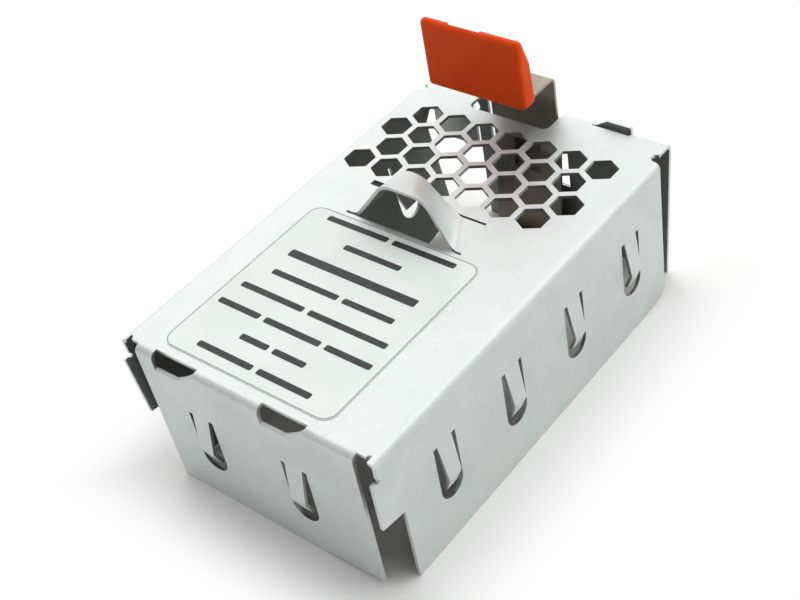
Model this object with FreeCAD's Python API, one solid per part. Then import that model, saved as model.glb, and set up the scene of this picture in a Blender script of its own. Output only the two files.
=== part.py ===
import FreeCAD, Part
import math
import os

os.makedirs("parts", exist_ok=True)

V = FreeCAD.Vector

# Frame: millimetres, +Z up, origin at the middle of the open rim.
# +X is the right wall, -Y the near wall, +Y the far wall that carries the latch.

# Folded box, outside sizes
BOX_W = 54.0
BOX_L = 85.2
BOX_H = 30.2
SHEET = 0.6
BEND_IN = 0.7
LEFT_LEAN = 9.5

# Honeycomb in the face, rows along X, the last row measured from the far wall
HEX_PITCH = 6.35
HEX_ACROSS = 5.25
HEX_COLS = 7
HEX_ROWS = 4
HEX_FAR_MARGIN = 11.8

# Finger pull: a strip of the face between two slits, pressed up into an arch
PULL_WIDTH = 7.7
PULL_TO_HEX = 2.2
PULL_LEFT = -14.3
PULL_RIGHT = 10.6
PULL_SLIT = 0.5
PULL_FAR_SLIT_X = (-15.5, 9.8)
PULL_SLIT_END_LEN = 2.8
PULL_SLIT_END_W = 1.3
PULL_FOOT = 2.2
PULL_NEAR_RISE = 8.9
PULL_NEAR_CROWN = (-4.8, 3.9)
PULL_NEAR_LANDING = 8.5
PULL_FAR_RISE = 6.3
PULL_FAR_CROWN = (-6.5, -2.6)
PULL_FAR_LANDING = 4.6
PULL_CROWN_R = 3.6
PULL_FOOT_R = 2.0

# Spring fingers lanced in the walls
FINGER_W = 3.6
FINGER_GAP = 0.9
FINGER_BEND_IN = 0.5
SLOT_H = 12.7
FINGER_CREST_OUT = 1.05
FINGER_CREST_DROP = 7.4
FINGER_TIP_DROP = 10.4
FINGER_TIP_IN = 0.2
FINGER_TIP_W = 2.7
SIDE_FINGERS = 4
SIDE_FINGER_PITCH = 17.8
SIDE_FINGER_SHIFT = -0.6
RIGHT_SLOT_DROP = 8.8
LEFT_SLOT_DROP = 9.8
END_FINGERS = 2
END_FINGER_PITCH = 20.4
END_FINGER_SHIFT = -1.2
END_SLOT_DROP = 10.3

# Side walls: near edge with a tab that stands past the near wall, early far end
SIDE_NEAR_SET = 0.6
TAB_OUT = 0.65
TAB_TOP_DROP = 3.6
RIGHT_TAB_DROP = 13.4
LEFT_TAB_DROP = 15.0
TAB_EDGE_FALL = 0.8
TAB_NICK_R = 0.4
SIDE_LOW_SET = 4.4
SIDE_FAR_SET = 5.9
SIDE_HEEL_LEN = 8.0
SIDE_HEEL_RISE = 1.6
LEFT_EAR_OUT = 1.9
LEFT_EAR_DROP = 7.6

# Near wall: its ends stop short of the corners, two cut-outs straddle its fold
NEAR_WALL_SET = 3.8
NEAR_LEFT_TAPER = 1.2
NEAR_HEEL_LEN = 14.0
NEAR_HEEL_RISE = 1.2
NEAR_RELIEF_R = 0.7
NEAR_NOTCH_X = (-19.4, 4.1)
NEAR_NOTCH_W = 9.4
NEAR_NOTCH_FLAT = 5.0
NEAR_NOTCH_IN_FACE = 1.65
NEAR_NOTCH_DOWN = 3.0
NEAR_LIP = 0.4

# Far wall: tapered right end, tab and open corner on the left, slit with a round end
FAR_WALL_TAPER = 1.4
FAR_RELIEF_R = 1.0
FAR_TAB_OUT = 0.6
FAR_TAB_DROP = 2.2
FAR_CORNER_CUT_W = 10.5
FAR_CORNER_CUT_TOP = 16.2
FAR_SLIT_W = 0.8
FAR_SLIT_END_DROP = 4.2
FAR_SLIT_END_R = 1.2

# Lug of the far wall that rises through a slot in the face
LUG_X = 10.4
LUG_W = 7.7
LUG_SLANT = 2.8
LUG_RISE = 1.1
LUG_SLOT = 0.75

# Latch window: one opening through the face, over the fold and down the far wall
WINDOW_GAP_LEFT = 2.0
WINDOW_GAP_RIGHT = 0.6
WINDOW_IN_FACE = 6.3
WINDOW_BOTTOM = 13.2
WINDOW_CORNER_R = 1.2

# Latch spring: a bent strip welded by its foot to a seat folded in from the far wall
LATCH_X = -4.2
LATCH_W = 14.9
LATCH_T = 0.5
LATCH_Y = 40.9
LATCH_HEEL_Y = 38.4
LATCH_FOOT_LEN = 5.4
LATCH_KNEE_Z = 21.2
LATCH_RISE = 8.4
LATCH_SHELF = 8.0
LATCH_LIP = 9.0
LATCH_BEND_R = 0.8
SEAT_JOIN_Z = 4.0
CATCH_W = 7.0
CATCH_ROOT_Z = 14.2
CATCH_TOP_Z = 23.0
CATCH_OUT = 1.7

# Release grip moulded round the upturned lip of the spring
GRIP_W = 21.4
GRIP_SHIFT = -2.9
GRIP_FRONT_TO_LIP = 1.9
GRIP_DROP = 1.2
GRIP_FRONT_H = 13.1
GRIP_TOP_H = 14.9
GRIP_TOP_SET = 1.2
GRIP_BACK_H = 8.6
GRIP_DEPTH_TOP = 3.4
GRIP_DEPTH = 4.0
GRIP_EDGE_R = 0.9
GRIP_RECESS_W = 7.4
GRIP_RECESS_SHIFT = -1.6
GRIP_RECESS_DEPTH = 0.75

# Label stuck on the face between near fold and finger pull
LABEL_W = 36.4
LABEL_SHIFT = -2.1
LABEL_NEAR_MARGIN = 3.3
LABEL_PULL_GAP = 0.8
LABEL_T = 0.1
LABEL_R = 2.5

# Worked out from the sizes above
HALF_W = BOX_W / 2
HALF_L = BOX_L / 2
IN_W = HALF_W - SHEET
IN_L = HALF_L - SHEET
FACE_UNDER = BOX_H - SHEET
BEND_OUT = BEND_IN + SHEET
FLAT_X = HALF_W - BEND_OUT
FLAT_Y = HALF_L - BEND_OUT
FOLD_Z = BOX_H - BEND_OUT
PAST = 5.0
HEX_R = HEX_ACROSS / math.sqrt(3)
ROW_STEP = HEX_PITCH * math.sqrt(3) / 2
HEX_LAST_Y = HALF_L - HEX_FAR_MARGIN
HEX_FIRST_Y = HEX_LAST_Y - (HEX_ROWS - 1) * ROW_STEP
PULL_FAR_Y = HEX_FIRST_Y - HEX_R - PULL_TO_HEX
PULL_NEAR_Y = PULL_FAR_Y - PULL_WIDTH
SIDE_NEAR_Y = -HALF_L + SIDE_NEAR_SET
SIDE_FAR_Y = HALF_L - SIDE_FAR_SET
LATCH_LEFT = LATCH_X - LATCH_W / 2
LATCH_FOOT_Z = SHEET + LATCH_T / 2
LATCH_TOP_Z = BOX_H + LATCH_RISE - LATCH_T / 2
LATCH_LIP_Y = LATCH_Y - LATCH_SHELF
LATCH_FOOT_Y = LATCH_HEEL_Y - LATCH_FOOT_LEN


def block(x0, x1, y0, y1, z0, z1):
    """Box between two corners."""
    return Part.makeBox(x1 - x0, y1 - y0, z1 - z0, V(x0, y0, z0))


def prism(points, sweep):
    """Flat polygon pushed along a vector."""
    wire = Part.makePolygon(points + [points[0]])
    return Part.Face(wire).extrude(sweep)


def offset_path(points, distance):
    """Open path moved sideways to its left, with mitred corners (2D pairs)."""
    moved = []
    count = len(points)
    for i in range(count):
        sides = []
        for a, b in ((i - 1, i), (i, i + 1)):
            if a >= 0 and b < count:
                dx = points[b][0] - points[a][0]
                dy = points[b][1] - points[a][1]
                size = math.hypot(dx, dy)
                sides.append((-dy / size, dx / size))
        nx = sum(side[0] for side in sides)
        ny = sum(side[1] for side in sides)
        scale = distance * len(sides) / (nx * nx + ny * ny)
        moved.append((points[i][0] + nx * scale, points[i][1] + ny * scale))
    return moved


def rounded_edges(points, radii, place):
    """Lines and tangent arcs along a path; place turns 2D pairs into points."""
    edges = []
    start = points[0]
    for i in range(1, len(points) - 1):
        before, corner, after = points[i - 1], points[i], points[i + 1]
        ux, uy = corner[0] - before[0], corner[1] - before[1]
        wx, wy = after[0] - corner[0], after[1] - corner[1]
        lu, lw = math.hypot(ux, uy), math.hypot(wx, wy)
        ux, uy, wx, wy = ux / lu, uy / lu, wx / lw, wy / lw
        turn = math.acos(max(-1.0, min(1.0, ux * wx + uy * wy)))
        cut = radii[i - 1] * math.tan(turn / 2)
        enter = (corner[0] - ux * cut, corner[1] - uy * cut)
        leave = (corner[0] + wx * cut, corner[1] + wy * cut)
        bx, by = wx - ux, wy - uy
        lb = math.hypot(bx, by)
        depth = radii[i - 1] * (1 / math.cos(turn / 2) - 1)
        middle = (corner[0] + bx / lb * depth, corner[1] + by / lb * depth)
        edges.append(Part.LineSegment(place(start), place(enter)).toShape())
        edges.append(Part.Arc(place(enter), place(middle), place(leave)).toShape())
        start = leave
    edges.append(Part.LineSegment(place(start), place(points[-1])).toShape())
    return edges


def bent_section(points, inner_r, thickness, place):
    """Closed wire of a sheet bent along a path, centred on it."""
    turns = []
    for i in range(1, len(points) - 1):
        ux, uy = points[i][0] - points[i - 1][0], points[i][1] - points[i - 1][1]
        wx, wy = points[i + 1][0] - points[i][0], points[i + 1][1] - points[i][1]
        turns.append(ux * wy - uy * wx)
    left_r = [r if turn > 0 else r + thickness for r, turn in zip(inner_r, turns)]
    right_r = [r + thickness if turn > 0 else r for r, turn in zip(inner_r, turns)]
    left = offset_path(points, thickness / 2)
    right = offset_path(points, -thickness / 2)
    edges = rounded_edges(left, left_r, place)
    edges.append(Part.LineSegment(place(left[-1]), place(right[-1])).toShape())
    edges += list(reversed(rounded_edges(right, right_r, place)))
    edges.append(Part.LineSegment(place(right[0]), place(left[0])).toShape())
    return Part.Wire(edges)


def bent_sheet(points, inner_r, thickness, place, sweep):
    """Sheet bent along a path and pushed along a vector."""
    return Part.Face(bent_section(points, inner_r, thickness, place)).extrude(sweep)


def mirror_x(shape):
    """Copy on the other side of the YZ plane."""
    return shape.mirror(V(0, 0, 0), V(1, 0, 0))


def placed(shape, angle, move):
    """Shape turned about Z and then moved."""
    shape.rotate(V(0, 0, 0), V(0, 0, 1), angle)
    shape.translate(move)
    return shape


def finger_slot(top):
    """U-shaped opening of one finger in a wall at y = 0 facing -Y, with a round bottom."""
    half = FINGER_W / 2 + FINGER_GAP
    bottom = top - SLOT_H
    body = block(-half, half, -PAST, PAST, bottom + half, top)
    end = Part.makeCylinder(half, 2 * PAST, V(0, -PAST, bottom + half), V(0, 1, 0))
    return body.fuse(end)


def finger(top):
    """Tapered tongue of one finger in a wall whose outer face is y = 0, facing -Y."""
    mid = SHEET / 2
    path = [
        (mid, top + SHEET),
        (mid, top),
        (mid - FINGER_CREST_OUT, top - FINGER_CREST_DROP),
        (mid + FINGER_TIP_IN, top - FINGER_TIP_DROP),
    ]
    radii = [FINGER_BEND_IN] * 2
    tongue = bent_sheet(path, radii, SHEET, lambda p: V(-FINGER_W / 2, p[0], p[1]), V(FINGER_W, 0, 0))
    root, tip = FINGER_W / 2, FINGER_TIP_W / 2
    low = top - FINGER_TIP_DROP - SHEET
    taper = [
        V(-root, -PAST, top + SHEET),
        V(-root, -PAST, top),
        V(-tip, -PAST, low),
        V(tip, -PAST, low),
        V(root, -PAST, top),
        V(root, -PAST, top + SHEET),
    ]
    return tongue.common(prism(taper, V(0, 2 * PAST, 0)))


def with_fingers(wall, count, pitch, shift, top, angle, move):
    """Wall with a row of fingers; the row runs along the wall."""
    slots = []
    tongues = []
    for i in range(count):
        along = (i - (count - 1) / 2) * pitch + shift
        step = V(math.cos(math.radians(angle)) * along, math.sin(math.radians(angle)) * along, 0)
        slots.append(placed(finger_slot(top), angle, move + step))
        tongues.append(placed(finger(top), angle, move + step))
    return wall.cut(Part.makeCompound(slots)).fuse(tongues)


def side_wall(lean, slot_drop, tab_drop, ear_out):
    """Right wall: outline with tab, heel and ear, row of fingers, folded by 90 degrees plus a lean."""
    tab_y = -HALF_L - TAB_OUT
    low_y = -HALF_L + SIDE_LOW_SET
    tab_low = BOX_H - tab_drop
    ear_z = BOX_H - LEFT_EAR_DROP
    outline = [
        V(IN_W, SIDE_NEAR_Y, FOLD_Z),
        V(IN_W, SIDE_NEAR_Y, BOX_H - TAB_TOP_DROP),
        V(IN_W, tab_y, BOX_H - TAB_TOP_DROP),
        V(IN_W, tab_y, tab_low),
        V(IN_W, low_y, tab_low - TAB_EDGE_FALL),
        V(IN_W, low_y, 0),
        V(IN_W, SIDE_FAR_Y - SIDE_HEEL_LEN, 0),
        V(IN_W, SIDE_FAR_Y, SIDE_HEEL_RISE),
        V(IN_W, SIDE_FAR_Y, ear_z),
        V(IN_W, SIDE_FAR_Y + ear_out, ear_z + ear_out),
        V(IN_W, SIDE_FAR_Y + ear_out, FOLD_Z),
    ]
    wall = prism(outline, V(SHEET, 0, 0))
    nick_at = V(IN_W - PAST, SIDE_NEAR_Y, BOX_H - TAB_TOP_DROP)
    wall = wall.cut(Part.makeCylinder(TAB_NICK_R, 2 * PAST, nick_at, V(1, 0, 0)))
    top = BOX_H - slot_drop
    wall = with_fingers(wall, SIDE_FINGERS, SIDE_FINGER_PITCH, SIDE_FINGER_SHIFT, top, 90, V(HALF_W, 0, 0))
    axis = V(FLAT_X, 0, FOLD_Z)
    wall.rotate(axis, V(0, 1, 0), lean)
    strip = Part.makePolygon(
        [
            V(FLAT_X, SIDE_NEAR_Y, FACE_UNDER),
            V(FLAT_X, SIDE_FAR_Y, FACE_UNDER),
            V(FLAT_X, SIDE_FAR_Y, BOX_H),
            V(FLAT_X, SIDE_NEAR_Y, BOX_H),
            V(FLAT_X, SIDE_NEAR_Y, FACE_UNDER),
        ]
    )
    fold = Part.Face(strip).revolve(axis, V(0, 1, 0), 90 + lean)
    return wall.fuse(fold)


def end_channel():
    """Face with near and far wall folded down."""
    mid = HALF_L - SHEET / 2
    level = BOX_H - SHEET / 2
    path = [(-mid, 0), (-mid, level), (mid, level), (mid, 0)]
    radii = [BEND_IN] * 2
    return bent_sheet(path, radii, SHEET, lambda p: V(-FLAT_X, p[0], p[1]), V(2 * FLAT_X, 0, 0))


def near_wall_cuts():
    """Ends and heel of the near wall, with a round relief in each corner of the face."""
    end = HALF_W - NEAR_WALL_SET
    y0 = -HALF_L - PAST
    sweep = V(0, y0 * -1 - FLAT_Y, 0)
    right = prism(
        [V(end, y0, -PAST), V(HALF_W, y0, -PAST), V(HALF_W, y0, BOX_H + PAST), V(end, y0, BOX_H + PAST)],
        sweep,
    )
    left = prism(
        [
            V(-end + NEAR_LEFT_TAPER, y0, 0),
            V(-HALF_W, y0, 0),
            V(-HALF_W, y0, BOX_H + PAST),
            V(-end, y0, BOX_H + PAST),
            V(-end, y0, FOLD_Z),
        ],
        sweep,
    )
    heel = prism(
        [
            V(end - NEAR_HEEL_LEN, y0, 0),
            V(end, y0, NEAR_HEEL_RISE),
            V(HALF_W, y0, NEAR_HEEL_RISE),
            V(HALF_W, y0, -PAST),
            V(end - NEAR_HEEL_LEN, y0, -PAST),
        ],
        sweep,
    )
    relief = Part.makeCylinder(NEAR_RELIEF_R, PAST, V(FLAT_X, -FLAT_Y, FACE_UNDER - BEND_IN))
    return [right, left, heel, relief, mirror_x(relief)]


def near_notches():
    """Cut-outs across the near fold: a flat bottom, a slanted end and a bevel along the lower lip."""
    notches = []
    y0 = -HALF_L - PAST
    for left in NEAR_NOTCH_X:
        right = left + NEAR_NOTCH_W
        points = [
            V(left, y0, BOX_H + PAST),
            V(left, y0, BOX_H - NEAR_NOTCH_DOWN),
            V(left + NEAR_NOTCH_FLAT, y0, BOX_H - NEAR_NOTCH_DOWN),
            V(right, y0, BOX_H - SHEET / 2),
            V(right, y0, BOX_H + PAST),
        ]
        notches.append(prism(points, V(0, PAST + NEAR_NOTCH_IN_FACE, 0)))
        bevel = PAST + NEAR_LIP
        lowered = [point - V(0, 0, bevel) for point in points]
        notches.append(prism(lowered, V(0, bevel, bevel)))
    return notches


def far_wall_cuts():
    """Taper of the far wall, its open corner, the slit above it and the slot of the lug."""
    y0 = FLAT_Y
    taper = prism(
        [
            V(FLAT_X - FAR_WALL_TAPER, y0, 0),
            V(FLAT_X, y0, FOLD_Z),
            V(HALF_W, y0, FOLD_Z),
            V(HALF_W, y0, 0),
        ],
        V(0, PAST, 0),
    )
    cut_x = -HALF_W + FAR_CORNER_CUT_W
    corner = block(-HALF_W - PAST, cut_x, y0, HALF_L + PAST, -PAST, FAR_CORNER_CUT_TOP)
    slit_end = V(cut_x - FAR_SLIT_W / 2, y0, BOX_H - FAR_SLIT_END_DROP)
    slit = block(cut_x - FAR_SLIT_W, cut_x, y0, HALF_L + PAST, -PAST, slit_end.z)
    slit_round = Part.makeCylinder(FAR_SLIT_END_R, PAST, slit_end, V(0, 1, 0))
    slot = block(LUG_X, LUG_X + LUG_W, IN_L - LUG_SLOT, HALF_L + PAST, FOLD_Z - BEND_IN, BOX_H + PAST)
    relief_at = V(FLAT_X, SIDE_FAR_Y + FAR_RELIEF_R, FOLD_Z)
    relief = Part.makeCylinder(FAR_RELIEF_R, PAST, relief_at)
    return [taper, corner, slit, slit_round, slot, relief, mirror_x(relief)]


def far_lug():
    """Lug of the far wall, slanted on its left end."""
    low = FOLD_Z - BEND_IN
    outline = [
        V(LUG_X, IN_L, low),
        V(LUG_X, IN_L, FACE_UNDER),
        V(LUG_X + LUG_SLANT, IN_L, BOX_H + LUG_RISE),
        V(LUG_X + LUG_W, IN_L, BOX_H + LUG_RISE),
        V(LUG_X + LUG_W, IN_L, low),
    ]
    return prism(outline, V(0, SHEET, 0))


def far_tab():
    """Tab on the left end of the far wall, beside the left wall."""
    right = -FLAT_X + SHEET
    return block(-HALF_W - FAR_TAB_OUT, right, IN_L, HALF_L, FAR_CORNER_CUT_TOP, BOX_H - FAR_TAB_DROP)


def latch_window():
    """Opening that lets the latch spring rise through the face and out of the far wall."""
    left = LATCH_LEFT - WINDOW_GAP_LEFT
    right = LATCH_LEFT + LATCH_W + WINDOW_GAP_RIGHT
    window = block(left, right, HALF_L - WINDOW_IN_FACE, HALF_L + PAST, WINDOW_BOTTOM, BOX_H + PAST)
    near = []
    for edge in window.Edges:
        a, b = edge.Vertexes[0], edge.Vertexes[1]
        if a.Y < HALF_L and b.Y < HALF_L and abs(a.Z - b.Z) > SHEET:
            near.append(edge)
    return window.makeFillet(WINDOW_CORNER_R, near)


def seat_gap():
    """Room at the foot of the far wall for the fold of the seat."""
    return block(LATCH_LEFT, LATCH_LEFT + LATCH_W, FLAT_Y, HALF_L + PAST, -PAST, SEAT_JOIN_Z)


def latch_seat():
    """Foot of the far wall folded inwards under the latch spring."""
    wall_y = HALF_L - SHEET / 2
    path = [(wall_y, SEAT_JOIN_Z), (wall_y, SHEET / 2), (LATCH_FOOT_Y, SHEET / 2)]
    return bent_sheet(path, [BEND_IN], SHEET, lambda p: V(LATCH_LEFT, p[0], p[1]), V(LATCH_W, 0, 0))


def honeycomb():
    """Staggered rows of hexagons with points along Y; every other row is shifted half a pitch."""
    holes = []
    for row in range(HEX_ROWS):
        y = HEX_FIRST_Y + row * ROW_STEP
        shift = 0.0 if (HEX_ROWS - row) % 2 else -HEX_PITCH / 2
        for col in range(HEX_COLS):
            x = (col - (HEX_COLS - 1) / 2) * HEX_PITCH + shift
            corners = []
            for k in range(6):
                a = math.radians(30 + 60 * k)
                corners.append(V(x + HEX_R * math.cos(a), y + HEX_R * math.sin(a), FACE_UNDER - PAST / 2))
            holes.append(prism(corners, V(0, 0, PAST)))
    return holes


def pull_section(y, crown, rise, landing):
    """Closed outline of the finger pull across X at one of its edges."""
    level = BOX_H - SHEET / 2
    path = [
        (PULL_LEFT, level),
        (PULL_LEFT + PULL_FOOT, level),
        (crown[0], level + rise),
        (crown[1], level + rise),
        (landing, level),
        (PULL_RIGHT, level),
    ]
    radii = [PULL_FOOT_R, PULL_CROWN_R, PULL_CROWN_R, PULL_FOOT_R]
    return bent_section(path, radii, SHEET, lambda p: V(p[0], y, p[1]))


def finger_pull():
    """Arched strip: its near edge stands high and open, its far edge lower."""
    near = pull_section(PULL_NEAR_Y, PULL_NEAR_CROWN, PULL_NEAR_RISE, PULL_NEAR_LANDING)
    far = pull_section(PULL_FAR_Y, PULL_FAR_CROWN, PULL_FAR_RISE, PULL_FAR_LANDING)
    return Part.makeLoft([near, far], True, True)


def pull_gap():
    """Room for the finger pull, with its near slit and its far slit that widens on the left."""
    low, high = FACE_UNDER - PAST, BOX_H + PAST
    left, right = PULL_FAR_SLIT_X
    strip = block(PULL_LEFT, PULL_RIGHT, PULL_NEAR_Y - PULL_SLIT, PULL_FAR_Y, low, high)
    slit = block(left, right, PULL_FAR_Y, PULL_FAR_Y + PULL_SLIT, low, high)
    end = block(left, left + PULL_SLIT_END_LEN, PULL_FAR_Y, PULL_FAR_Y + PULL_SLIT_END_W, low, high)
    return [strip, slit, end]


def filler_shell():
    """The whole folded sheet."""
    cuts = near_wall_cuts() + near_notches() + far_wall_cuts() + honeycomb() + pull_gap()
    cuts += [latch_window(), seat_gap()]
    shell = end_channel().cut(Part.makeCompound(cuts))
    top = BOX_H - END_SLOT_DROP
    shell = with_fingers(shell, END_FINGERS, END_FINGER_PITCH, END_FINGER_SHIFT, top, 0, V(0, -HALF_L, 0))
    adds = [side_wall(0, RIGHT_SLOT_DROP, RIGHT_TAB_DROP, 0)]
    adds.append(mirror_x(side_wall(LEFT_LEAN, LEFT_SLOT_DROP, LEFT_TAB_DROP, LEFT_EAR_OUT)))
    adds += [finger_pull(), far_lug(), far_tab(), latch_seat()]
    return shell.fuse(adds).removeSplitter()


def latch_path():
    """Middle line of the spring in Y and Z: foot, leaf with a knee, shelf and upturned lip."""
    return [
        (LATCH_FOOT_Y, LATCH_FOOT_Z),
        (LATCH_HEEL_Y, LATCH_FOOT_Z),
        (LATCH_Y, LATCH_KNEE_Z),
        (LATCH_Y, LATCH_TOP_Z),
        (LATCH_LIP_Y, LATCH_TOP_Z),
        (LATCH_LIP_Y, LATCH_TOP_Z + LATCH_LIP),
    ]


def leaf_y(z):
    """Middle line of the leaf at a height."""
    share = (z - LATCH_FOOT_Z) / (LATCH_KNEE_Z - LATCH_FOOT_Z)
    return LATCH_HEEL_Y + (LATCH_Y - LATCH_HEEL_Y) * min(1.0, share)


def latch_blank():
    """The bent strip without its catch."""
    radii = [LATCH_BEND_R] * 4
    return bent_sheet(latch_path(), radii, LATCH_T, lambda p: V(LATCH_LEFT, p[0], p[1]), V(LATCH_W, 0, 0))


def catch_wedge(inset):
    """Wedge that rises out of the back of the leaf and ends in a square shoulder."""
    left = LATCH_X - CATCH_W / 2 + inset
    root, top = CATCH_ROOT_Z + 2 * inset, CATCH_TOP_Z - inset
    outline = [
        V(left, leaf_y(root), root),
        V(left, HALF_L + CATCH_OUT - 2 * inset, top),
        V(left, leaf_y(top), top),
        V(left, leaf_y(LATCH_KNEE_Z), LATCH_KNEE_Z),
    ]
    return prism(outline, V(CATCH_W - 2 * inset, 0, 0))


def latch_spring():
    """Bent strip with a hollow catch pressed out through the window of the far wall."""
    strip = latch_blank().fuse(catch_wedge(0))
    front = catch_wedge(LATCH_T)
    front.translate(V(0, -LATCH_T / 4, 0))
    mouth = catch_wedge(LATCH_T)
    mouth.translate(V(0, -LATCH_T, 0))
    return strip.cut(front).cut(mouth).removeSplitter()


def release_grip():
    """Wedge-shaped pad with soft edges and a shallow recess in its sloping back."""
    left = LATCH_X + GRIP_SHIFT - GRIP_W / 2
    front = LATCH_LIP_Y - GRIP_FRONT_TO_LIP
    low = LATCH_TOP_Z - GRIP_DROP
    top = V(left, front + GRIP_TOP_SET, low + GRIP_TOP_H)
    back = V(left, front + GRIP_DEPTH_TOP, low + GRIP_BACK_H)
    outline = [
        V(left, front, low),
        V(left, front, low + GRIP_FRONT_H),
        top,
        back,
        V(left, front + GRIP_DEPTH, low),
    ]
    pad = prism(outline, V(GRIP_W, 0, 0))
    pad = pad.makeFillet(GRIP_EDGE_R, pad.Edges)
    slope = back - top
    normal = V(0, -slope.z, slope.y)
    normal.normalize()
    inwards = V((GRIP_W - GRIP_RECESS_W) / 2 + GRIP_RECESS_SHIFT, 0, 0)
    recess = prism(
        [
            top + inwards - normal * GRIP_RECESS_DEPTH - slope,
            back + inwards - normal * GRIP_RECESS_DEPTH,
            back + inwards + normal * PAST,
            top + inwards + normal * PAST - slope,
        ],
        V(GRIP_RECESS_W, 0, 0),
    )
    return pad.cut(recess).cut(latch_blank())


def label():
    """Thin sticker with round corners."""
    left = LABEL_SHIFT - LABEL_W / 2
    near = -HALF_L + LABEL_NEAR_MARGIN
    far = PULL_NEAR_Y - PULL_SLIT - LABEL_PULL_GAP
    sheet = block(left, left + LABEL_W, near, far, BOX_H, BOX_H + LABEL_T)
    upright = [e for e in sheet.Edges if abs(e.Vertexes[0].Z - e.Vertexes[1].Z) > LABEL_T / 2]
    return sheet.makeFillet(LABEL_R, upright)


pieces = {
    "filler_shell": filler_shell(),
    "latch_spring": latch_spring(),
    "release_grip": release_grip(),
    "label": label(),
}
for name, shape in pieces.items():
    box = shape.BoundBox
    print(name, shape.isValid(), len(shape.Solids), round(shape.Volume, 2))
    print("  ", [round(v, 2) for v in (box.XMin, box.XMax, box.YMin, box.YMax, box.ZMin, box.ZMax)])
    shape.exportStep("parts/%s.step" % name)
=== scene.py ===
import math

import bmesh
import bpy
from mathutils import Matrix, Vector


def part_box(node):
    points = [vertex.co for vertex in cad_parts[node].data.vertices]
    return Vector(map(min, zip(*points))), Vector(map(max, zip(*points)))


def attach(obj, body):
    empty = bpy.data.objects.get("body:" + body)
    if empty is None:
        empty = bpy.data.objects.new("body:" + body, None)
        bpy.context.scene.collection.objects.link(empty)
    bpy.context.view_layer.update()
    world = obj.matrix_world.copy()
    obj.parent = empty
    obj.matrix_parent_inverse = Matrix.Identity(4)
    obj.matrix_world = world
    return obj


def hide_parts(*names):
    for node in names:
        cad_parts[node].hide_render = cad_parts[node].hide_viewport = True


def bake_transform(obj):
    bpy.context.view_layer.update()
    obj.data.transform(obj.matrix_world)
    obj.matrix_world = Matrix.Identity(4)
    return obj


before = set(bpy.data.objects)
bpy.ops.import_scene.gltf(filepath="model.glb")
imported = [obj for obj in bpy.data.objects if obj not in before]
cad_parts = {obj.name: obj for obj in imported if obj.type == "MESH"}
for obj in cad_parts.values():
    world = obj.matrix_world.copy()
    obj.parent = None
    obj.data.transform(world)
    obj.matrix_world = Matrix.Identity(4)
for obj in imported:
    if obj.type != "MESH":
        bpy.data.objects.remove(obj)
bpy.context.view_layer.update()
MM = 0.001

# Sticker, in millimetres: its corners, the ink on it and the thin grey line inside its edge, which is painted
# shade of that edge
LABEL_CORNER = 2.5
PRINT_T = 0.02
PRINT_CORNER = 0.35
OUTLINE_W = 0.16
OUTLINE_INSET = 0.12
CORNER_SEGMENTS = 5

# Rows of plain bars on the sticker: distance from the middle of the face, bar height, bar lengths
PRINT_ROWS = (
    (-1.9, 1.25, (13.4, 13.2)),
    (-6.7, 1.25, (12.2,)),
    (-12.2, 1.75, (27.4,)),
    (-17.3, 1.25, (14.4, 10.6)),
    (-22.2, 1.25, (13.8, 16.4)),
    (-27.0, 1.25, (9.2, 12.0, 9.4)),
    (-31.8, 1.25, (6.0, 6.8)),
    (-36.4, 1.25, (12.0, 11.2)),
)
PRINT_GAP = 1.1

# Spring strip, in millimetres: where its bend starts and ends, and the step between the cuts across it
STRIP_FIXED_Z = 1.2
STRIP_FREE_Z = 27.0
STRIP_CUT_STEP = 1.2
MERGE_DIST = 0.001
CUT_DIST = 0.0005
FLAT_ANGLE = math.radians(0.5)

# Surface patterns, in millimetres, and how far each is stretched or turned
ZINC_CLOUD = 9.0
ZINC_GRAIN = 0.35
ZINC_GRAIN_SHARE = 0.45
ZINC_RUB = 0.5
ZINC_RUB_TURN = (0.3, 0.5, 0.9)
ZINC_RUB_STRETCH = (1.0, 0.05, 1.0)
# Painted shade inside the box: how far a face looks towards the middle, in millimetres, where its darkening
# starts and where it is full
ZINC_PAINTED_SHADE_START = 3.0
ZINC_PAINTED_SHADE_FULL = 9.0
STRIP_LINE = 0.3
STRIP_LINE_STRETCH = (1.0, 0.04, 0.04)
STRIP_STAIN = 6.0
GRIP_FLOW = 7.0
GRIP_GRAIN = 0.3
FILM_PATCH = 8.0
FILM_FIBRE = 0.4
INK_PATCH = 0.6
FINE_RELIEF = 0.02
GRIP_RELIEF = 0.03

# Most of a noise texture's values lie in this range.
NOISE_SPAN = {"From Min": 0.3, "From Max": 0.7}

# Places of the colour sockets on a Mix node, whose names occur once for each type of value
MIX_COLOUR_A = 6
MIX_COLOUR_B = 7
MIX_COLOUR_OUT = 2

# Floor: half its side in metres, then its drop and the reach of the shadow on it in millimetres
FLOOR_HALF = 12.0
FLOOR_DROP = 0.03
SHADOW_REACH = 16.0
MIRRORED_SHADOW_REACH = 110.0

# Sky: its strength in front of the object and behind it, the span of heading between them,
# and the heights between which the white just above the floor's edge fades out
FRONT_SKY = 0.16
BACK_SKY = 0.88
SKY_SPAN = 0.7
HORIZON_LOW = 0.06
HORIZON_HIGH = 0.18

# Softboxes, in metres and watts: name, place, width, height, power
SOFTBOXES = (
    ("back_left_softbox", (-0.55, 0.27, 0.50), 0.66, 0.66, 1.7),
    ("back_softbox", (0.05, 0.75, 0.28), 1.1, 0.5, 1.2),
    ("right_softbox", (0.34, 0.34, 0.36), 0.3, 0.3, 0.35),
    ("top_softbox", (0.12, 0.10, 0.60), 0.4, 0.4, 1.0),
    ("front_left_softbox", (-0.36, -0.46, 0.46), 0.3, 0.3, 0.45),
)
SOFTBOX_AIM = Vector((0.0, 0.0, 0.02))

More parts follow.
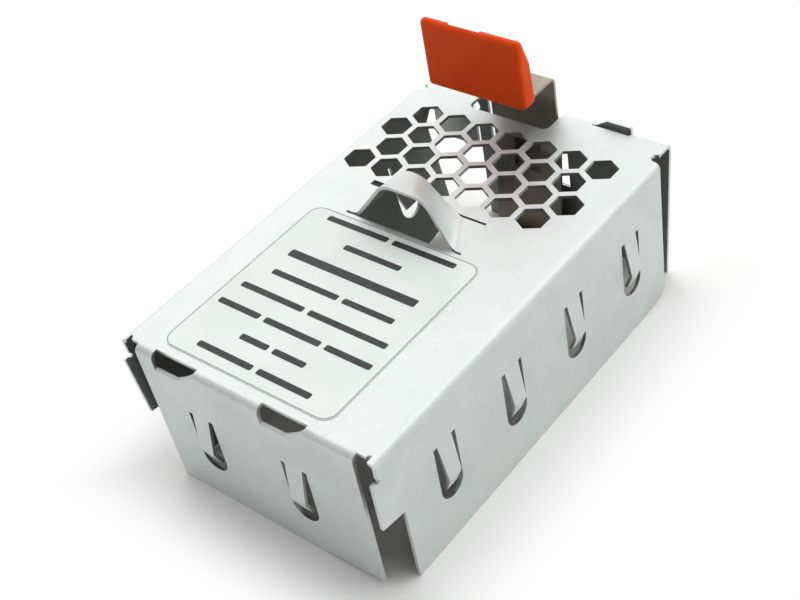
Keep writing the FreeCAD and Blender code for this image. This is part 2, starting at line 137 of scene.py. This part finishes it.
# Camera at the photograph's angle: turned, raised and rolled, with its place and lens in millimetres
CAMERA_AZIMUTH = math.radians(46.34)
CAMERA_ELEVATION = math.radians(41.19)
CAMERA_ROLL = math.radians(12.0)
CAMERA_PLACE = Vector((127.75, -126.36, 174.41))
CAMERA_LENS = 61.62
CAMERA_SENSOR = 36.0
CAMERA_NEAREST = 10.0


def linear(hex_colour):
    """sRGB hex to linear RGBA."""
    out = []
    for i in (1, 3, 5):
        c = int(hex_colour[i:i + 2], 16) / 255
        out.append(c / 12.92 if c <= 0.04045 else ((c + 0.055) / 1.055) ** 2.4)
    return (*out, 1.0)


def per_mm(size):
    """Texture scale for a pattern of that size in millimetres."""
    return 1.0 / (size * MM)


def node(tree, kind, fields=None, values=None, links=None, stops=()):
    """Adds a node, sets its fields, input values and any colour stops, and links its inputs."""
    made = tree.nodes.new(kind)
    for name, value in (fields or {}).items():
        setattr(made, name, value)
    for name, value in (values or {}).items():
        made.inputs[name].default_value = value
    for name, source in (links or {}).items():
        tree.links.new(source, made.inputs[name])
    for i, (place, hex_colour) in enumerate(stops):
        made.color_ramp.elements[i].position = place
        made.color_ramp.elements[i].color = linear(hex_colour)
    return made


def new_material(name):
    """Empty node material, its tree and its output."""
    material = bpy.data.materials.new(name)
    material.use_nodes = True
    tree = material.node_tree
    tree.nodes.clear()
    return material, tree, node(tree, "ShaderNodeOutputMaterial")


def zinc_plated_steel():
    """Cold-rolled sheet with bright zinc plating: a cool satin metal, faintly cloudy, with fine rub marks.

    Faces that look towards the middle of the box get a darker colour: painted shade inside the box.
    """
    material, tree, out = new_material("zinc_plated_steel")
    seat = node(tree, "ShaderNodeTexCoord").outputs
    place = seat["Object"]
    low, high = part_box("filler_shell")
    from_middle = node(tree, "ShaderNodeVectorMath", fields={"operation": "SUBTRACT"},
                       values={1: (low + high) / 2}, links={0: place}).outputs["Vector"]
    outward = node(tree, "ShaderNodeVectorMath", fields={"operation": "DOT_PRODUCT"},
                   links={0: from_middle, 1: seat["Normal"]}).outputs["Value"]
    # Painted shade: faces that look towards the middle of the box turn darker.
    painted_shade_share = node(tree, "ShaderNodeMapRange",
                  values={"From Min": -ZINC_PAINTED_SHADE_START * MM, "From Max": -ZINC_PAINTED_SHADE_FULL * MM},
                  links={"Value": outward}).outputs["Result"]
    cloud = node(tree, "ShaderNodeTexNoise",
                 values={"Scale": per_mm(ZINC_CLOUD), "Detail": 7.0, "Roughness": 0.72},
                 links={"Vector": place}).outputs["Fac"]
    # Plating crystals are finer than the picture shows, so their grain is drawn coarser.
    grain = node(tree, "ShaderNodeTexNoise",
                 values={"Scale": per_mm(ZINC_GRAIN), "Detail": 2.0, "Roughness": 0.5},
                 links={"Vector": place}).outputs["Fac"]
    stretched = node(tree, "ShaderNodeMapping",
                     values={"Rotation": ZINC_RUB_TURN, "Scale": ZINC_RUB_STRETCH},
                     links={"Vector": place}).outputs["Vector"]
    rubs = node(tree, "ShaderNodeTexNoise",
                values={"Scale": per_mm(ZINC_RUB), "Detail": 3.0, "Roughness": 0.7},
                links={"Vector": stretched}).outputs["Fac"]
    mottle = node(tree, "ShaderNodeMath", fields={"operation": "MULTIPLY_ADD"},
                  values={1: ZINC_GRAIN_SHARE}, links={0: grain, 2: cloud}).outputs["Value"]
    bright = node(tree, "ShaderNodeValToRGB", links={"Fac": mottle},
                  stops=((0.5, "#ced4d2"), (0.95, "#dfe2e1"))).outputs["Color"]
    # Darker copy of the zinc colour, for the painted shade inside the box
    painted_shade_colour = node(tree, "ShaderNodeValToRGB", links={"Fac": mottle},
                stops=((0.5, "#868b88"), (0.95, "#969a97"))).outputs["Color"]
    colour = node(tree, "ShaderNodeMix", fields={"data_type": "RGBA"},
                  links={"Factor": painted_shade_share, MIX_COLOUR_A: bright, MIX_COLOUR_B: painted_shade_colour}).outputs[MIX_COLOUR_OUT]
    satin = node(tree, "ShaderNodeMapRange", values={**NOISE_SPAN, "To Min": 0.54, "To Max": 0.62},
                 links={"Value": cloud}).outputs["Result"]
    rub_mark = node(tree, "ShaderNodeMapRange",
                    values={"From Min": 0.58, "From Max": 0.75, "To Min": 0.0, "To Max": 0.12},
                    links={"Value": rubs}).outputs["Result"]
    rough = node(tree, "ShaderNodeMath", fields={"operation": "ADD"},
                 links={0: satin, 1: rub_mark}).outputs["Value"]
    bump = node(tree, "ShaderNodeBump", values={"Strength": 0.3, "Distance": FINE_RELIEF * MM},
                links={"Height": grain}).outputs["Normal"]
    shader = node(tree, "ShaderNodeBsdfPrincipled", values={"Metallic": 1.0},
                  links={"Base Color": colour, "Roughness": rough, "Normal": bump})
    tree.links.new(shader.outputs["BSDF"], out.inputs["Surface"])
    return material


def spring_steel():
    """Bare spring strip: warmer and darker than the plated sheet, with rolling lines along its length."""
    material, tree, out = new_material("spring_steel")
    place = node(tree, "ShaderNodeTexCoord").outputs["Object"]
    along = node(tree, "ShaderNodeMapping", values={"Scale": STRIP_LINE_STRETCH},
                 links={"Vector": place}).outputs["Vector"]
    # Rolling lines are drawn only as fine as the picture shows.
    lines = node(tree, "ShaderNodeTexNoise",
                 values={"Scale": per_mm(STRIP_LINE), "Detail": 3.0, "Roughness": 0.6},
                 links={"Vector": along}).outputs["Fac"]
    stain = node(tree, "ShaderNodeTexNoise", values={"Scale": per_mm(STRIP_STAIN), "Detail": 3.0},
                 links={"Vector": place}).outputs["Fac"]
    colour = node(tree, "ShaderNodeValToRGB", links={"Fac": stain},
                  stops=((0.35, "#8f877b"), (0.65, "#9f978a"))).outputs["Color"]
    rough = node(tree, "ShaderNodeMapRange", values={**NOISE_SPAN, "To Min": 0.28, "To Max": 0.38},
                 links={"Value": lines}).outputs["Result"]
    bump = node(tree, "ShaderNodeBump", values={"Strength": 0.1, "Distance": FINE_RELIEF * MM},
                links={"Height": lines}).outputs["Normal"]
    shader = node(tree, "ShaderNodeBsdfPrincipled", values={"Metallic": 1.0},
                  links={"Base Color": colour, "Roughness": rough, "Normal": bump})
    tree.links.new(shader.outputs["BSDF"], out.inputs["Surface"])
    return material


def orange_nylon():
    """Moulded nylon in safety orange: satin, with a fine spark-eroded grain and slight flow clouds."""
    material, tree, out = new_material("orange_nylon")
    place = node(tree, "ShaderNodeTexCoord").outputs["Object"]
    flow = node(tree, "ShaderNodeTexNoise", values={"Scale": per_mm(GRIP_FLOW), "Detail": 3.0},
                links={"Vector": place}).outputs["Fac"]
    # The grain is about 0.1 mm on the moulding and is drawn coarser so that it shows.
    grain = node(tree, "ShaderNodeTexNoise", values={"Scale": per_mm(GRIP_GRAIN), "Detail": 2.0},
                 links={"Vector": place}).outputs["Fac"]
    colour = node(tree, "ShaderNodeValToRGB", links={"Fac": flow},
                  stops=((0.3, "#e64603"), (0.7, "#ef5005"))).outputs["Color"]
    rough = node(tree, "ShaderNodeMapRange", values={**NOISE_SPAN, "To Min": 0.46, "To Max": 0.58},
                 links={"Value": grain}).outputs["Result"]
    bump = node(tree, "ShaderNodeBump", values={"Strength": 0.25, "Distance": GRIP_RELIEF * MM},
                links={"Height": grain}).outputs["Normal"]
    shader = node(tree, "ShaderNodeBsdfPrincipled", values={"IOR": 1.53, "Specular IOR Level": 0.12},
                  links={"Base Color": colour, "Roughness": rough, "Normal": bump})
    tree.links.new(shader.outputs["BSDF"], out.inputs["Surface"])
    return material


def label_film():
    """Matte white polyester film: cool white, faintly uneven where it was rubbed down."""
    material, tree, out = new_material("label_film")
    place = node(tree, "ShaderNodeTexCoord").outputs["Object"]
    uneven = node(tree, "ShaderNodeTexNoise", values={"Scale": per_mm(FILM_PATCH), "Detail": 4.0},
                  links={"Vector": place}).outputs["Fac"]
    fibre = node(tree, "ShaderNodeTexNoise", values={"Scale": per_mm(FILM_FIBRE), "Detail": 2.0},
                 links={"Vector": place}).outputs["Fac"]
    colour = node(tree, "ShaderNodeValToRGB", links={"Fac": uneven},
                  stops=((0.3, "#dfe8e3"), (0.7, "#eaefec"))).outputs["Color"]
    rough = node(tree, "ShaderNodeMapRange", values={**NOISE_SPAN, "To Min": 0.5, "To Max": 0.62},
                 links={"Value": fibre}).outputs["Result"]
    bump = node(tree, "ShaderNodeBump", values={"Strength": 0.08, "Distance": FINE_RELIEF * MM},
                links={"Height": fibre}).outputs["Normal"]
    shader = node(tree, "ShaderNodeBsdfPrincipled", values={"IOR": 1.5},
                  links={"Base Color": colour, "Roughness": rough, "Normal": bump})
    tree.links.new(shader.outputs["BSDF"], out.inputs["Surface"])
    return material


def ink_and_painted_shade(name, dark, light):
    """Matte colour with slightly uneven cover: thermal-transfer ink for the print, and painted shade for the
    grey line inside the sticker's edge.
    """
    material, tree, out = new_material(name)
    place = node(tree, "ShaderNodeTexCoord").outputs["Object"]
    cover = node(tree, "ShaderNodeTexNoise", values={"Scale": per_mm(INK_PATCH), "Detail": 3.0},
                 links={"Vector": place}).outputs["Fac"]
    colour = node(tree, "ShaderNodeValToRGB", links={"Fac": cover},
                  stops=((0.35, dark), (0.7, light))).outputs["Color"]
    shader = node(tree, "ShaderNodeBsdfPrincipled", values={"IOR": 1.5, "Roughness": 0.6},
                  links={"Base Color": colour})
    tree.links.new(shader.outputs["BSDF"], out.inputs["Surface"])
    return material


def background_rays(tree):
    """Two masks: rays straight from the camera, and rays by way of a mirror or glass."""
    ray = node(tree, "ShaderNodeLightPath").outputs
    mirrored = node(tree, "ShaderNodeMath", fields={"operation": "MAXIMUM"},
                    links={0: ray["Is Glossy Ray"], 1: ray["Is Transmission Ray"]}).outputs["Value"]
    return ray["Is Camera Ray"], mirrored


def past_walls(tree, low, high):
    """How far a point of the floor lies outside the rectangle between two corners, in metres."""
    place = node(tree, "ShaderNodeTexCoord").outputs["Object"]
    offset = node(tree, "ShaderNodeVectorMath", fields={"operation": "SUBTRACT"},
                  values={1: (low + high) / 2}, links={0: place}).outputs["Vector"]
    reach = node(tree, "ShaderNodeVectorMath", fields={"operation": "ABSOLUTE"},
                 links={0: offset}).outputs["Vector"]
    past = node(tree, "ShaderNodeVectorMath", fields={"operation": "SUBTRACT"},
                values={1: (high - low) / 2}, links={0: reach}).outputs["Vector"]
    split = node(tree, "ShaderNodeSeparateXYZ", links={"Vector": past}).outputs
    return node(tree, "ShaderNodeMath", fields={"operation": "MAXIMUM"},
                links={0: split["X"], 1: split["Y"]}).outputs["Value"]


def pale_floor():
    """Matte white paper: shaded close to the walls of the box, plain white further out."""
    material, tree, out = new_material("pale_floor")
    past = past_walls(tree, *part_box("filler_shell"))
    shares = []
    for seen, reach in zip(background_rays(tree), (SHADOW_REACH, MIRRORED_SHADOW_REACH)):
        fade = node(tree, "ShaderNodeMapRange", fields={"interpolation_type": "SMOOTHSTEP"},
                    values={"From Max": reach * MM}, links={"Value": past}).outputs["Result"]
        shares.append(node(tree, "ShaderNodeMath", fields={"operation": "MULTIPLY"},
                           links={0: fade, 1: seen}).outputs["Value"])
    share = node(tree, "ShaderNodeMath", fields={"operation": "MAXIMUM"},
                 links={0: shares[0], 1: shares[1]}).outputs["Value"]
    matte = node(tree, "ShaderNodeBsdfDiffuse", values={"Color": linear("#f7f7f6")}).outputs["BSDF"]
    white = node(tree, "ShaderNodeEmission", values={"Strength": 1.0}).outputs["Emission"]
    both = node(tree, "ShaderNodeMixShader", links={0: share, 1: matte, 2: white})
    tree.links.new(both.outputs["Shader"], out.inputs["Surface"])
    return material


def piece(name, bm, material):
    """Object at the origin from a bmesh, with one material."""
    mesh = bpy.data.meshes.new(name)
    bm.to_mesh(mesh)
    bm.free()
    made = bpy.data.objects.new(name, mesh)
    made.data.materials.append(material)
    bpy.context.scene.collection.objects.link(made)
    return made


def rounded_plate(bm, x0, x1, y0, y1, z, corner):
    """Flat rectangle with round corners, in millimetres; gives its face."""
    places = ((x0, y0), (x1, y0), (x1, y1), (x0, y1))
    corners = [bm.verts.new((x * MM, y * MM, z * MM)) for x, y in places]
    bm.faces.new(corners)
    bmesh.ops.bevel(bm, geom=corners, offset=corner * MM, offset_type="OFFSET", affect="VERTICES",
                    segments=CORNER_SEGMENTS, profile=0.5, material=-1)
    bm.faces.ensure_lookup_table()
    return bm.faces[-1]


def raised(bm, thickness):
    """Gives all the flat faces of a bmesh a thickness upwards."""
    made = bmesh.ops.extrude_face_region(bm, geom=bm.faces[:])
    tops = [v for v in made["geom"] if isinstance(v, bmesh.types.BMVert)]
    bmesh.ops.translate(bm, verts=tops, vec=(0, 0, thickness * MM))
    bmesh.ops.recalc_face_normals(bm, faces=bm.faces)


def label_print(material):
    """Rows of plain round-cornered bars, centred on the sticker."""
    low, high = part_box("label")
    middle = (low.x + high.x) / 2 / MM
    bm = bmesh.new()
    for y, height, lengths in PRINT_ROWS:
        x = middle - (sum(lengths) + PRINT_GAP * (len(lengths) - 1)) / 2
        for length in lengths:
            rounded_plate(bm, x, x + length, y - height / 2, y + height / 2, high.z / MM, PRINT_CORNER)
            x += length + PRINT_GAP
    raised(bm, PRINT_T)
    return piece("label_print", bm, material)


def label_outline(material):
    """Thin grey line round the sticker, just inside its edge: painted shade of the sticker's edge."""
    low, high = (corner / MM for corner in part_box("label"))
    bm = bmesh.new()
    face = rounded_plate(bm, low.x + OUTLINE_INSET, high.x - OUTLINE_INSET, low.y + OUTLINE_INSET,
                         high.y - OUTLINE_INSET, high.z, LABEL_CORNER - OUTLINE_INSET)
    bmesh.ops.inset_region(bm, faces=[face], thickness=OUTLINE_W * MM,
                           use_boundary=True, use_even_offset=True)
    bmesh.ops.delete(bm, geom=[face], context="FACES_ONLY")
    raised(bm, PRINT_T)
    return piece("label_outline", bm, material)


def latch_strip(material):
    """The spring strip, cut across its leaf at even steps of height."""
    bm = bmesh.new()
    bm.from_mesh(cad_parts["latch_spring"].data)
    bmesh.ops.remove_doubles(bm, verts=bm.verts, dist=MERGE_DIST * MM)
    bmesh.ops.dissolve_limit(bm, angle_limit=FLAT_ANGLE, verts=bm.verts, edges=bm.edges)
    z = STRIP_FIXED_Z
    while z < STRIP_FREE_Z:
        bmesh.ops.bisect_plane(bm, geom=bm.verts[:] + bm.edges[:] + bm.faces[:], dist=CUT_DIST * MM,
                               plane_co=(0, 0, z * MM), plane_no=(0, 0, 1))
        z += STRIP_CUT_STEP
    return piece("latch_strip", bm, material)


def studio_sky():
    """Soft sky: brighter behind the object than in front of it, seen white just above the floor's edge."""
    world = bpy.data.worlds.new("studio")
    world.use_nodes = True
    tree = world.node_tree
    tree.nodes.clear()
    heading = node(tree, "ShaderNodeSeparateXYZ",
                   links={"Vector": node(tree, "ShaderNodeTexCoord").outputs["Generated"]}).outputs
    soft = node(tree, "ShaderNodeMapRange",
                values={"From Min": -SKY_SPAN, "From Max": SKY_SPAN, "To Min": FRONT_SKY, "To Max": BACK_SKY},
                links={"Value": heading["Y"]}).outputs["Result"]
    band = node(tree, "ShaderNodeMapRange", fields={"interpolation_type": "SMOOTHSTEP"},
                values={"From Min": HORIZON_LOW, "From Max": HORIZON_HIGH, "To Min": 1.0, "To Max": 0.0},
                links={"Value": heading["Z"]}).outputs["Result"]
    straight, mirrored = background_rays(tree)
    seen = node(tree, "ShaderNodeMath", fields={"operation": "MAXIMUM"},
                links={0: straight, 1: mirrored}).outputs["Value"]
    share = node(tree, "ShaderNodeMath", fields={"operation": "MULTIPLY"},
                 links={0: band, 1: seen}).outputs["Value"]
    strength = node(tree, "ShaderNodeMix", fields={"data_type": "FLOAT"}, values={"B": 1.0},
                    links={"Factor": share, "A": soft}).outputs["Result"]
    glow = node(tree, "ShaderNodeBackground", values={"Color": linear("#ffffff")},
                links={"Strength": strength}).outputs["Background"]
    node(tree, "ShaderNodeOutputWorld", links={"Surface": glow})
    return world


def softbox(name, place, width, height, watts):
    """Area lamp that faces the middle of the object."""
    lamp = bpy.data.lights.new(name, "AREA")
    lamp.shape = "RECTANGLE"
    lamp.size = width
    lamp.size_y = height
    lamp.energy = watts
    made = bpy.data.objects.new(name, lamp)
    bpy.context.scene.collection.objects.link(made)
    made.location = place
    made.rotation_mode = "QUATERNION"
    made.rotation_quaternion = (SOFTBOX_AIM - Vector(place)).to_track_quat("-Z", "Y")


def photo_camera():
    """Camera at the photograph's angle and distance."""
    level_reach = math.cos(CAMERA_ELEVATION)
    forward = Vector((-math.sin(CAMERA_AZIMUTH) * level_reach, math.cos(CAMERA_AZIMUTH) * level_reach,
                      -math.sin(CAMERA_ELEVATION)))
    level = Vector((math.cos(CAMERA_AZIMUTH), math.sin(CAMERA_AZIMUTH), 0))
    up = math.cos(CAMERA_ROLL) * level.cross(forward) + math.sin(CAMERA_ROLL) * level
    turned = Matrix((forward.cross(up), up, -forward)).transposed().to_4x4()
    turned.translation = CAMERA_PLACE * MM
    lens = bpy.data.cameras.new("camera")
    lens.sensor_fit = "HORIZONTAL"
    lens.sensor_width = CAMERA_SENSOR
    lens.lens = CAMERA_LENS
    lens.clip_start = CAMERA_NEAREST * MM
    made = bpy.data.objects.new("camera", lens)
    bpy.context.scene.collection.objects.link(made)
    made.matrix_world = turned
    return made


# Finishes on the solids
for name, material in (("filler_shell", zinc_plated_steel()), ("release_grip", orange_nylon()),
                       ("label", label_film())):
    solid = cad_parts[name]
    solid.data.materials.clear()
    solid.data.materials.append(material)

# Pieces that the scene adds
strip = latch_strip(spring_steel())
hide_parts("latch_spring")
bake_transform(strip)

bars = label_print(ink_and_painted_shade("print_ink", "#26292a", "#34383a"))
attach(bars, "shell")
# Grey line inside the sticker's edge: painted shade of that edge
line = label_outline(ink_and_painted_shade("painted_edge_shade", "#7d8585", "#8d9494"))
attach(line, "shell")

# Floor, sky, lamps and camera
bm = bmesh.new()
bmesh.ops.create_grid(bm, x_segments=1, y_segments=1, size=FLOOR_HALF)
bmesh.ops.translate(bm, verts=bm.verts, vec=(0, 0, -FLOOR_DROP * MM))
floor = piece("floor", bm, pale_floor())
bpy.context.scene.world = studio_sky()
for name, place, width, height, watts in SOFTBOXES:
    softbox(name, place, width, height, watts)
bpy.context.scene.camera = photo_camera()
bpy.context.scene.view_settings.view_transform = "Standard"
